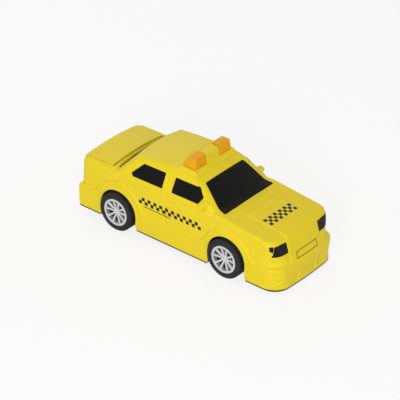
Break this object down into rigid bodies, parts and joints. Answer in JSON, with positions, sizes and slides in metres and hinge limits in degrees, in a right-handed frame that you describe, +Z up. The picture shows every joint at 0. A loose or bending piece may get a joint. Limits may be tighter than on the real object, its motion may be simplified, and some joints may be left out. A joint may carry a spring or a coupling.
{
  "type": "toy taxi",
  "caption": "Hollow plastic toy saloon taxi with a roof light bar, dark windows, an opening boot lid and a friction drive on its rear axle.",
  "frame": {"origin": "on the ground under the middle of the car's box", "axes": "+X to the car's front, +Y to its left side, +Z up"},
  "size_m": [0.2325, 0.093, 0.0925],
  "materials": {
    "yellow_shell": "moulded plastic in taxi yellow, glossy, with a fine moulding grain",
    "black_windows": "opaque black plastic, glossy",
    "orange_lens": "orange plastic caps, satin gloss, slightly translucent",
    "black_lamps": "black lamp inserts, glossy",
    "plate": "bare plate with a thin dark border",
    "dark_chassis": "black plastic, matt",
    "steel": "bright steel",
    "silver_rims": "silver-plated plastic, soft shine",
    "tyres": "soft black plastic tyre with a block tread",
    "gears": "white gear plastic",
    "motor_housing": "grey plastic housing"
  },
  "bodies": {
    "car": {"body_shell": "yellow_shell", "window_insert": "black_windows", "light_lens_left": "orange_lens", "light_lens_right": "orange_lens", "headlamp_left": "black_lamps", "headlamp_right": "black_lamps", "tail_lamp_left": "black_lamps", "tail_lamp_right": "black_lamps", "number_plate": "plate", "boot_tray": "dark_chassis", "chassis": "dark_chassis", "body_screws": "steel", "tray_screws": "steel", "motor_screws": "steel", "case_screws": "steel", "motor_case": "motor_housing", "motor_cover": "motor_housing", "idler_pin": "steel"},
    "front_wheels": {"front_axle": "steel", "rim_front_left": "silver_rims", "rim_front_right": "silver_rims", "tyre_front_left": "tyres", "tyre_front_right": "tyres"},
    "rear_wheels": {"rear_axle": "steel", "rim_rear_left": "silver_rims", "rim_rear_right": "silver_rims", "tyre_rear_left": "tyres", "tyre_rear_right": "tyres", "axle_gear": "gears"},
    "idler": {"idler_gear": "gears"},
    "flywheel_set": {"flywheel": "steel", "flywheel_pinion": "gears"},
    "lid": {"boot_lid": "yellow_shell"}
  },
  "joints": [
    {"name": "front_axle_spin", "type": "hinge", "parent": "car", "child": "front_wheels", "pos_m": [0.0575, 0, 0.019], "axis": [0, 1, 0], "continuous": true},
    {"name": "rear_axle_spin", "type": "hinge", "parent": "car", "child": "rear_wheels", "pos_m": [-0.0675, 0, 0.019], "axis": [0, 1, 0], "continuous": true},
    {"name": "idler_spin", "type": "hinge", "parent": "car", "child": "idler", "pos_m": [-0.05659, 0, 0.02664], "axis": [0, 1, 0], "continuous": true},
    {"name": "flywheel_spin", "type": "hinge", "parent": "car", "child": "flywheel_set", "pos_m": [-0.04347, 0, 0.02433], "axis": [0, 1, 0], "continuous": true},
    {"name": "boot_lid_hinge", "type": "hinge", "parent": "car", "child": "lid", "pos_m": [-0.085, 0, 0.0555], "axis": [0, 1, 0], "range_deg": [0, 65]}
  ],
  "couplings": [
    {"joint": "idler_spin", "follows": "rear_axle_spin", "ratio": -2.6667},
    {"joint": "flywheel_spin", "follows": "rear_axle_spin", "ratio": 7.1111}
  ]
}
